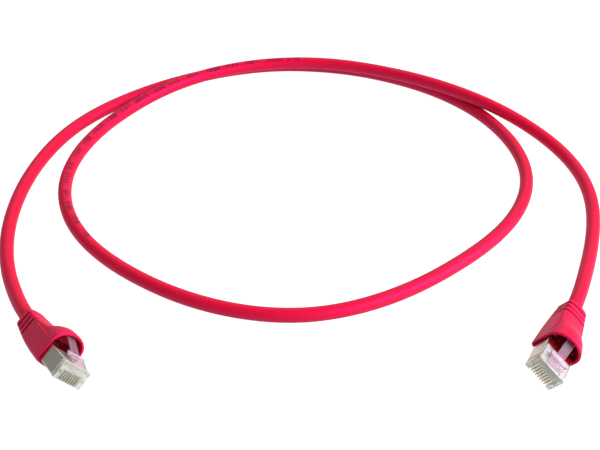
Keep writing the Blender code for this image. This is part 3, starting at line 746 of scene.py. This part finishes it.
# Shields: one nickel-plated brass sheet for each plug, folded round the clear body with tight
# bends and lips on the latch side, then necked down and closed round the braid as a crimp.
BEND_RADIUS = 0.28 * MM
BEND_STEPS = 5
SHIELD_LIP = 2.45 * MM
SHIELD_BACK = PLUG_LENGTH + 0.30 * MM
CRIMP_START = SHIELD_BACK + 2.5 * MM
CRIMP_END = JACKET_END + 5.4 * MM
CRIMP_RADIUS = 3.51 * MM
SEAM = math.radians(14.0)
SHEET_EDGE = 0.05 * MM
LIP_POINTS = 2
FLANK_POINTS = 8
SOLE_POINTS = 14
STRIP_ROWS = 6
NICKEL = (0.56, 0.55, 0.49, 1.0)
NICKEL_DARK = (0.46, 0.46, 0.38, 1.0)
NICKEL_ROUGH = (0.20, 0.34)
ROLLED_ACROSS = (1.0, 6.0, 6.0)


def folded_outline():
    """The sheet's middle line across the plug, from one lip round to the other."""
    across = HALF_W - SHEET / 2
    up = HALF_H - SHEET / 2
    lip = across - SHIELD_LIP
    r = BEND_RADIUS

    def bend(y, z, start):
        return [(y + r * math.cos(start + turn), z + r * math.sin(start + turn))
                for turn in quarter_turn(BEND_STEPS)]

    outline = [(-lip, up), (-0.5 * (lip + across - r), up)]
    outline += bend(-across + r, up - r, 0.5 * math.pi)
    outline += [(-across, z) for z in np.linspace(up - r, -up + r, FLANK_POINTS)[1:-1]]
    outline += bend(-across + r, -up + r, math.pi)
    outline += [(y, -up) for y in np.linspace(-across + r, across - r, SOLE_POINTS)[1:-1]]
    outline += bend(across - r, -up + r, 1.5 * math.pi)
    outline += [(across, z) for z in np.linspace(-up + r, up - r, FLANK_POINTS)[1:-1]]
    outline += bend(across - r, up - r, 0.0)
    outline += [(0.5 * (lip + across - r), up), (lip, up)]
    return outline


def shield_piece(name, finish):
    """The sheet's strips from the nose to the crimp's end, thickened, with its edges eased."""
    folded = folded_outline()
    last = len(folded) - 1
    turns = [math.pi / 2 + SEAM + 2 * (math.pi - SEAM) * k / last for k in range(last + 1)]
    tail = [(CRIMP_RADIUS * math.cos(turn), CRIMP_RADIUS * math.sin(turn)) for turn in turns]
    flank = range(LIP_POINTS, LIP_POINTS + 2 * BEND_STEPS + FLANK_POINTS - 1)
    both_flanks = [*flank, *(last - 1 - k for k in reversed(flank))]
    no_lips = range(LIP_POINTS, last - LIP_POINTS)
    whole = range(last)
    nose = BARE_NOSE + SLIP
    contact_side = BARE_CONTACT_SIDE + SLIP
    latch_side = BARE_LATCH_SIDE + SLIP
    strips = [(nose, contact_side, both_flanks), (contact_side, latch_side, no_lips),
              (latch_side, SHIELD_BACK, whole), (SHIELD_BACK, CRIMP_START, whole),
              (CRIMP_START, CRIMP_END, whole)]
    build = bmesh.new()
    rows = {}

    def row_at(x):
        if x not in rows:
            share = even_s(x, SHIELD_BACK, CRIMP_START)
            rows[x] = [build.verts.new((-x, a[0] + (b[0] - a[0]) * share, a[1] + (b[1] - a[1]) * share))
                       for a, b in zip(folded, tail)]
        return rows[x]

    for start, end, columns in strips:
        stations = [float(round(x, 7)) for x in np.linspace(start, end, STRIP_ROWS)]
        for x, after in zip(stations[:-1], stations[1:]):
            here, there = row_at(x), row_at(after)
            for k in columns:
                build.faces.new((here[k], here[k + 1], there[k + 1], there[k]))
    loose = [corner for corner in build.verts if not corner.link_faces]
    bmesh.ops.delete(build, geom=loose, context='VERTS')
    bmesh.ops.recalc_face_normals(build, faces=build.faces)
    made = placed(name, mesh_from(build, name))
    thicken = made.modifiers.new("sheet", 'SOLIDIFY')
    thicken.thickness = SHEET
    thicken.offset = 0.0
    ease_edges(made, SHEET_EDGE, 50.0)
    return dressed(made, finish, 45.0)


nickel_finish = metal_finish("plated_steel", NICKEL, NICKEL_DARK, NICKEL_ROUGH, 260.0, ROLLED_ACROSS)
for side in SIDES:
    shield = shield_piece(f"{side}_folded_shield", nickel_finish)
    seat(shield, side, "lead", "plated_steel", f"{side}_shield")


# Latches: a springy clear tongue, rooted at the nose, that rises to two square shoulders and
# goes on as a narrow lever under the boot's hood. Pressing the lever frees the plug. The
# tongue's sides and shoulders are satin.
LATCH_HALF = 3.15 * MM
SHOULDER_HALF = 3.70 * MM
LEVER_HALF = 1.625 * MM
LATCH_THICKNESS = 0.85 * MM
LATCH_CATCH = 1.25 * MM
LATCH_LENGTH = 14.0 * MM
LATCH_ROOT = 1.9 * MM
LATCH_SWEEP = 1.2
SHOULDER_REACH = 5.1 * MM
SHOULDER_RISE = 1.95 * MM
TIP_RISE = 4.70 * MM
LATCH_CORNER = 0.16 * MM
LATCH_EASE = 0.05 * MM
LATCH_TINT = (0.76, 0.46, 0.54, 1.0)
FROST_TINT = (0.62, 0.52, 0.55, 1.0)


def rounded_ring(x, half, low, high, radius, steps=3):
    """An upright oblong with rounded corners, across the plug at a distance behind its nose."""
    ring = []
    radius = min(radius, 0.45 * (high - low))
    for y, z, start in ((half, low, -0.5), (half, high, 0.0), (-half, high, 0.5), (-half, low, 1.0)):
        cy = y - math.copysign(radius, y)
        cz = z + (radius if z == low else -radius)
        for k in range(steps + 1):
            angle = math.pi * (start + 0.5 * k / steps)
            ring.append((-x, cy + radius * math.cos(angle), cz + radius * math.sin(angle)))
    return ring


def latch_rings():
    """From the root up the ramp, over the shoulders and along the lever to its tip."""
    base = HALF_H + SLIP
    step = HALF_H + SHOULDER_RISE
    tip = HALF_H + TIP_RISE
    thick = LATCH_THICKNESS
    reach = SHOULDER_REACH
    ease = LATCH_EASE
    catch = reach - LATCH_CATCH
    ramp_under = base + 0.10 * MM
    ramp_top = base + 1.05 * MM
    # distance behind the nose, underside, top, half width
    stations = [(0.45 * MM, base, base + 0.35 * MM, LATCH_HALF - 0.1 * MM),
                (0.55 * MM, base, base + 0.50 * MM, LATCH_HALF),
                (0.90 * MM, base, base + 0.75 * MM, LATCH_HALF)]
    for share in np.linspace(0.0, 1.0, 7):
        rise = share ** LATCH_SWEEP
        stations.append((LATCH_ROOT + (catch - LATCH_ROOT) * share,
                         ramp_under + (step - LATCH_CATCH - ramp_under) * rise,
                         ramp_top + (step - 0.35 * MM - ramp_top) * rise, LATCH_HALF))
    stations += [(catch + ease, step - LATCH_CATCH, step - 0.32 * MM, SHOULDER_HALF),
                 (reach - ease, step - thick, step, SHOULDER_HALF),
                 (reach, step - thick, step, SHOULDER_HALF - ease),
                 (reach + ease, step - thick, step - ease, LEVER_HALF)]
    for share in np.linspace(0.1, 1.0, 10):
        x = reach + (LATCH_LENGTH - 0.6 * MM - reach) * share
        rise = (tip - step) * share
        stations.append((x, step - thick + rise - 0.1 * thick * share, step - ease + rise, LEVER_HALF))
    stations += [(LATCH_LENGTH - 0.2 * MM, tip - 0.9 * thick, tip - 2 * ease, LEVER_HALF - 0.1 * MM),
                 (LATCH_LENGTH, tip - 0.7 * thick, tip - 4 * ease, LEVER_HALF - 0.25 * MM)]
    return [rounded_ring(x, half, low, high, LATCH_CORNER) for x, low, high, half in stations]


def frost_edges(piece, finish):
    """Gives the latch's sides and its square shoulders the satin finish, which catches light."""
    piece.data.materials.append(finish)
    for face in piece.data.polygons:
        behind = -face.center.x
        shoulder = SHOULDER_REACH - LATCH_CATCH < behind < SHOULDER_REACH + 2 * LATCH_EASE
        if shoulder or abs(face.normal.y) > 0.5:
            face.material_index = 1


latch_finish = clear_finish("clear_latch", LATCH_TINT, 0.28, 0.40, index=1.22, low_rough=0.20)
frosted_finish = clear_finish("frosted_latch", FROST_TINT, 0.75, 0.10, index=1.3, low_rough=0.35)
for side in SIDES:
    latch = add_mesh(f"{side}_latch_tongue", latch_rings(), False, latch_finish, 35.0)
    frost_edges(latch, frosted_finish)
    seat(latch, side, f"{side}_latch", "clear_plastic", f"{side}_latch")


# Boots: soft red plastic moulded round the cable's end. The tail has three grooves, so that it
# bends with the cable, and the mouth opens into a hood that arches over the latch's lever.
# The bottoms of the grooves carry painted shade: a deeper, duller red.
PLUG_EXPOSED = 10.8 * MM
BOOT_WALL = 0.95 * MM
BOOT_REAR_HALF = 4.0 * MM
BOOT_REAR_TOP = 3.8 * MM
BOOT_REAR_FLOOR = 3.6 * MM
BOOT_REAR_SHOULDER = 0.68 * BOOT_REAR_TOP
BOOT_BELLY = 0.7 * MM
BOOT_CORNER = 1.3 * MM
BOOT_LEDGE = 0.3 * MM
SOLE_BULGE = 0.4 * MM
SOLE_STEPS = 8
BOOT_HOOD_BASE = 0.7 * MM
HOOD_INNER = HALF_H + TIP_RISE + 0.30 * MM
CROWN = HOOD_INNER + BOOT_WALL
RIM_RADIUS = 0.40 * MM
GROOVES = [BOOT_REAR - 2.2 * MM - 2.5 * MM * number for number in range(3)]
GROOVE_WIDTH = 0.9 * MM
GROOVE_DEPTH = 0.55 * MM
GROOVE_LIPS = 1.3
GROOVE_BOTTOM = 0.55 * GROOVE_DEPTH
CRIMP_ROOM = 0.30 * MM
BORE_ROOM = 0.12 * MM
BOOT_STEP = 0.2 * MM
BOOT_EASING = 9
LOW_POINTS = 26
HIGH_POINTS = 22
BOOT_RED = (0.76, 0.0040, 0.026, 1.0)
BOOT_DEEP = (0.66, 0.0032, 0.018, 1.0)
# painted shade: the deeper, duller red and low gloss on the bottoms of the grooves
GROOVE_PAINTED_SHADE = (0.26, 0.0010, 0.004, 1.0)
BOOT_ROUGH = (0.50, 0.62)
BOOT_GLOSS = 0.75
GROOVE_GLOSS = 0.10
# distance behind the nose, height of the top, width of the hood, roundness of the hood
BOOT_STATIONS = [
    (PLUG_EXPOSED, CROWN, 1.00, 2.0),
    (PLUG_EXPOSED + 2.2 * MM, CROWN, 0.98, 2.0),
    (LATCH_LENGTH + 1.5 * MM, CROWN - 0.3 * MM, 0.94, 2.0),
    (LATCH_LENGTH + 4.0 * MM, CROWN - 1.3 * MM, 0.90, 2.0),
    (LATCH_LENGTH + 6.5 * MM, CROWN - 3.1 * MM, 0.88, 2.1),
    (LATCH_LENGTH + 8.7 * MM, BOOT_REAR_TOP + 1.4 * MM, 0.92, 2.3),
    (GROOVES[2] - 2.5 * MM, BOOT_REAR_TOP + 0.9 * MM, 0.95, 2.4),
    (GROOVES[2], BOOT_REAR_TOP + 0.6 * MM, 0.96, 2.4),
    (BOOT_REAR, BOOT_REAR_TOP, 0.96, 2.4),
]


def whole_ring(x, low_part, high_part):
    """A ring from its right half, which runs from the middle of the sole up to the crown."""
    right = [*spread_evenly(np.array(low_part), LOW_POINTS),
             *spread_evenly(np.array(high_part), HIGH_POINTS)[1:]]
    left = [(-y, z) for y, z in reversed(right[1:-1])]
    return [(-x, y, z) for y, z in right + left]


def arch(half, base, high, power):
    """From the side at its base over to the crown."""
    outline = [(half * math.cos(angle) ** (2 / power), base + (high - base) * math.sin(angle) ** (2 / power))
               for angle in quarter_turn(24)]
    outline[-1] = (0.0, high)
    return outline


def boot_ring(x, high, hood_share, power, sink):
    """The boot's outside at a distance behind the nose, drawn in by the sink."""
    back = (x - PLUG_EXPOSED) / (BOOT_REAR - PLUG_EXPOSED)
    half_mouth = HALF_W + SLIP + BOOT_WALL
    floor_mouth = HALF_H + SLIP + BOOT_WALL
    hood_base = HALF_H + BOOT_HOOD_BASE
    half = half_mouth + (BOOT_REAR_HALF - half_mouth) * back - sink
    low = floor_mouth + (BOOT_REAR_FLOOR - floor_mouth) * back + BOOT_BELLY * math.sin(math.pi * back) - sink
    shoulder = hood_base + (BOOT_REAR_SHOULDER - hood_base) * back ** 1.5 - 0.5 * sink
    middle = half - BOOT_CORNER
    shares = [k / SOLE_STEPS for k in range(SOLE_STEPS + 1)]
    sole = [(middle * share, -low - SOLE_BULGE * (1 - share ** 2)) for share in shares]
    corner = [(middle + BOOT_CORNER * math.sin(turn), -low + BOOT_CORNER * (1 - math.cos(turn)))
              for turn in quarter_turn(6)]
    side_part = [(half, shoulder - BOOT_LEDGE), (hood_share * half, shoulder)]
    return whole_ring(x, sole + corner + side_part, arch(hood_share * half, shoulder, high - sink, power))


def groove_sink(x):
    """How deep the moulded grooves are there, with round lips and a round bottom."""
    depth = 0.0
    for middle in GROOVES:
        away = abs(x - middle) / (0.5 * GROOVE_WIDTH)
        if away < GROOVE_LIPS:
            depth = max(depth, GROOVE_DEPTH * (0.5 + 0.5 * math.cos(math.pi * away / GROOVE_LIPS)) ** 0.5)
    return depth


def outer_rings():
    """The outside from the tail to the mouth, with the stations' steps eased out."""
    table = np.array(BOOT_STATIONS)
    stations = np.arange(PLUG_EXPOSED, BOOT_REAR + BOOT_STEP / 2, BOOT_STEP)
    soften = np.hanning(BOOT_EASING + 2)[1:-1]
    soften /= soften.sum()
    eased = []
    for column in range(1, 4):
        values = np.interp(stations, table[:, 0], table[:, column])
        padded = np.pad(values, BOOT_EASING // 2, mode='edge')
        eased.append(np.convolve(padded, soften, mode='valid'))
    rings = []
    for x, high, share, power in zip(stations, *eased):
        near_end = max(min(x - PLUG_EXPOSED, BOOT_REAR - x), 0.0)
        rim = 0.0
        if near_end < RIM_RADIUS:
            rim = RIM_RADIUS - math.sqrt(RIM_RADIUS ** 2 - (RIM_RADIUS - near_end) ** 2)
        rings.append(boot_ring(x, high, share, power, groove_sink(x) + 0.8 * rim))
    return rings[::-1]


def inner_rings():
    """The inside from the mouth to the tail: hood, plug's pocket, crimp's room and bore."""
    half = HALF_W + SLIP
    low = -HALF_H - SLIP
    base = HALF_H + SLIP
    crimp_room = CRIMP_RADIUS + SHEET / 2 + CRIMP_ROOM
    bore = CABLE_DIAMETER / 2 + BORE_ROOM

    def hood(x, grow, high, power):
        low_part = [(0, low - grow), (half + grow, low - grow), (half + grow, base)]
        return whole_ring(x, low_part, arch(half + grow, base, high + grow, power))

    def pocket(x):
        return whole_ring(x, [(0, low), (half, low), (half, 0)], [(half, 0), (half, base), (0, base)])

    def hole(x, radius):
        lower = [(radius * math.sin(turn), -radius * math.cos(turn)) for turn in quarter_turn(16)]
        upper = [(radius * math.cos(turn), radius * math.sin(turn)) for turn in quarter_turn(16)]
        return whole_ring(x, lower, upper)

    rings = [hood(PLUG_EXPOSED + RIM_RADIUS * math.sin(turn), RIM_RADIUS * 0.6 * (1 - math.sin(turn)),
                  HOOD_INNER, 2.0) for turn in quarter_turn(4)]
    rings += [hood(PLUG_EXPOSED + 2.2 * MM, 0.0, HOOD_INNER, 2.0),
              hood(LATCH_LENGTH + 0.4 * MM, 0.0, HOOD_INNER - 0.1 * MM, 2.0),
              hood(LATCH_LENGTH + 1.5 * MM, 0.0, HOOD_INNER - 0.4 * MM, 1.9),
              hood(LATCH_LENGTH + 2.4 * MM, 0.0, HOOD_INNER - 1.2 * MM, 1.8),
              pocket(LATCH_LENGTH + 2.8 * MM), pocket(SHIELD_BACK + 0.3 * MM),
              hole(CRIMP_START + 0.3 * MM, crimp_room), hole(CRIMP_END + 0.3 * MM, crimp_room),
              hole(CRIMP_END + 0.6 * MM, bore), hole(BOOT_REAR - 0.1 * MM, bore),
              hole(BOOT_REAR, bore + 0.1 * MM)]
    return rings


def boot_finish(name, red, gloss, deep=None):
    """Soft satin plastic with the faint matt texture of its mould, clouded by a deeper red."""
    made, tree, shader = new_finish(name)
    place = node(tree, "TexCoord").outputs["Object"]
    if deep:
        red = mixed(tree, noise(tree, 160.0, 2.0, Vector=place), deep, red)
    fine = noise(tree, 3200.0, 3.0, Vector=place)
    feed(tree, shader, "Base Color", red)
    feed(tree, shader, "Roughness", ranged(tree, fine, BOOT_ROUGH))
    feed(tree, shader, "Specular Tint", GLOSS_PINK)
    feed(tree, shader, "Specular IOR Level", gloss)
    bumped(tree, shader, fine, strength=0.18, distance=0.04 * MM)
    return made


def paint_shade_in_grooves(piece, finish):
    """Paints shade into the bottoms of the grooves: a deeper, duller red that marks them out."""
    piece.data.materials.append(finish)
    for face in piece.data.polygons:
        outside = math.hypot(face.center.y, face.center.z) > CABLE_DIAMETER / 2 + 0.5 * MM
        if outside and groove_sink(-face.center.x) > GROOVE_BOTTOM:
            face.material_index = 1


soft_red = boot_finish("red_boot", BOOT_RED, BOOT_GLOSS, deep=BOOT_DEEP)
# the grooves' bottoms get a finish of painted shade
groove_painted_shade = boot_finish("red_groove_painted_shade", GROOVE_PAINTED_SHADE, GROOVE_GLOSS)
for side in SIDES:
    boot = add_mesh(f"{side}_hooded_boot", outer_rings() + inner_rings(), True, soft_red, 38.0)
    paint_shade_in_grooves(boot, groove_painted_shade)
    seat(boot, side, "lead", "red_boot", f"{side}_boot")
